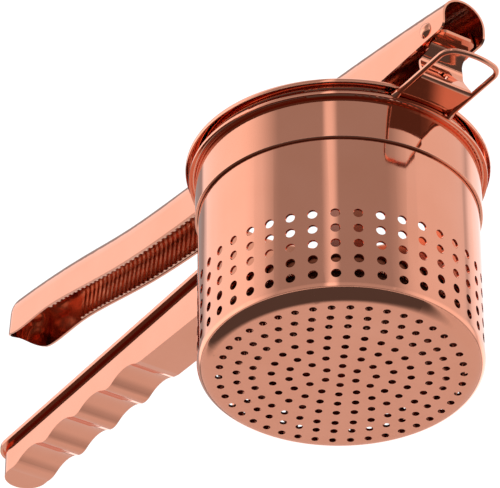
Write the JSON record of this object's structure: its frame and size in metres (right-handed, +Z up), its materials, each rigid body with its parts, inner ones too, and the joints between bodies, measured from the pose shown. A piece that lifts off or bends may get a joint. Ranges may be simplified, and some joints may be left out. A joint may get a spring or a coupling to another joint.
{
  "type": "potato ricer",
  "caption": "Hand potato ricer: perforated round basket in a ring frame, channel-section handles, hinged lever with a linked press plate and a wire rest loop.",
  "frame": {"origin": "centre of the basket's flat underside", "axes": "+Z up the basket's axis towards its open mouth, +X towards the hinge, handles towards -X, +Y across the handles"},
  "size_m": [0.2726, 0.094, 0.1344],
  "materials": {
    "copper_sheet": "polished, rose-gold copper plating",
    "copper_handle": "polished, rose-gold copper plating",
    "copper_inner": "satin copper plating",
    "copper_bracket": "polished copper plating",
    "copper_wire": "polished copper plating",
    "copper_fastener": "polished copper plating",
    "copper_plunger": "polished copper plating, fine circular finishing marks"
  },
  "bodies": {
    "frame": {"basket": "copper_sheet", "frame_ring": "copper_sheet", "lower_handle": "copper_handle", "handle_saddle": "copper_inner", "saddle_rivets": "copper_fastener", "hinge_bracket": "copper_bracket", "hinge_clevis": "copper_inner", "hinge_bush": "copper_fastener", "wire_loop": "copper_wire", "loop_welds": "copper_wire"},
    "lever": {"upper_handle": "copper_handle", "grip_liner": "copper_inner", "hinge_pin": "copper_fastener", "hinge_washers": "copper_fastener", "link_pin": "copper_fastener", "link_spacers": "copper_fastener"},
    "link": {"plunger_link": "copper_plunger", "plunger_pin": "copper_fastener", "plunger_washers": "copper_fastener"},
    "plunger": {"press_plate": "copper_plunger", "plate_lug": "copper_plunger", "lug_rivets": "copper_fastener"}
  },
  "joints": [
    {"name": "handle_hinge", "type": "hinge", "parent": "frame", "child": "lever", "pos_m": [0.0583, 0, 0.0881], "axis": [0, 1, 0], "range_deg": [-8.5, 69]},
    {"name": "link_hinge", "type": "hinge", "parent": "lever", "child": "link", "pos_m": [0.003, 0, 0.0946], "axis": [0, 1, 0], "range_deg": [-27.7, 3.5]},
    {"name": "plunger_slide", "type": "slide", "parent": "frame", "child": "plunger", "axis": [0, 0, 1], "range_m": [-0.00841, 0.06754]}
  ],
  "couplings": [
    {"joint": "link_hinge", "follows": "handle_hinge", "ratio": -0.4},
    {"joint": "plunger_slide", "follows": "handle_hinge", "m_per_rad": 0.056}
  ]
}
